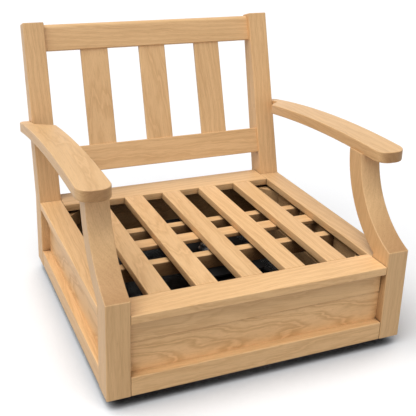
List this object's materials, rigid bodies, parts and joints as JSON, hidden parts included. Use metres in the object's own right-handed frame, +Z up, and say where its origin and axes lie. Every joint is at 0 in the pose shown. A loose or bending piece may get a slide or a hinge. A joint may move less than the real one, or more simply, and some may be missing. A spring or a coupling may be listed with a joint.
{
  "type": "swivel club chair",
  "caption": "Bare slatted hardwood club chair with arched arms and a leaning slatted back, on a boxed base that hides a turning steel swivel.",
  "frame": {"origin": "centre of the chair's box, on the floor under the glides", "axes": "+X to the viewer's right across the chair, +Y from the front posts to the back, +Z up"},
  "size_m": [0.778, 0.7988, 0.675],
  "materials": {
    "hardwood": "satin oiled, light eased edges",
    "shaded_hardwood": "satin",
    "black_steel": "black powder coat",
    "zinc_steel": "zinc plated",
    "nylon": "matte",
    "bronze": "machined"
  },
  "bodies": {
    "base": {"pivot_bolt": "zinc_steel", "pivot_washer": "zinc_steel", "pivot_nut": "zinc_steel", "ball_cage": "nylon", "bearing_balls": "zinc_steel", "swivel_lower_plate": "black_steel", "base_arm_1": "black_steel", "base_arm_2": "black_steel", "base_arm_3": "black_steel", "base_arm_4": "black_steel", "floor_ring": "black_steel", "glides": "nylon"},
    "chair": {"front_post_left": "hardwood", "front_post_right": "hardwood", "back_post_left": "hardwood", "back_post_right": "hardwood", "arm_left": "hardwood", "arm_right": "hardwood", "top_back_rail": "hardwood", "lower_back_rail": "hardwood", "back_slat_left": "hardwood", "back_slat_middle": "hardwood", "back_slat_right": "hardwood", "deck_front_rail": "hardwood", "deck_back_rail": "hardwood", "deck_side_rail_left": "hardwood", "deck_side_rail_right": "hardwood", "seat_slat_1": "hardwood", "seat_slat_2": "hardwood", "seat_slat_3": "hardwood", "seat_slat_4": "hardwood", "seat_slat_5": "hardwood", "front_upper_rail": "hardwood", "front_panel": "shaded_hardwood", "front_lower_rail": "hardwood", "back_upper_rail": "hardwood", "back_panel": "shaded_hardwood", "back_lower_rail": "hardwood", "left_upper_rail": "hardwood", "left_panel": "shaded_hardwood", "left_lower_rail": "hardwood", "right_upper_rail": "hardwood", "right_panel": "shaded_hardwood", "right_lower_rail": "hardwood", "corner_brace_front_left": "shaded_hardwood", "corner_brace_front_right": "shaded_hardwood", "corner_brace_back_left": "shaded_hardwood", "corner_brace_back_right": "shaded_hardwood", "middle_batten": "shaded_hardwood", "front_bearer": "shaded_hardwood", "rear_bearer": "shaded_hardwood", "slat_screws": "zinc_steel", "arm_screws": "zinc_steel", "arm_plugs": "shaded_hardwood", "plate_screws": "zinc_steel", "swivel_upper_plate": "black_steel", "pivot_bush": "bronze"}
  },
  "joints": [
    {"name": "swivel", "type": "hinge", "parent": "base", "child": "chair", "pos_m": [0, -0.05436, 0.15], "axis": [0, 0, 1], "continuous": true}
  ]
}
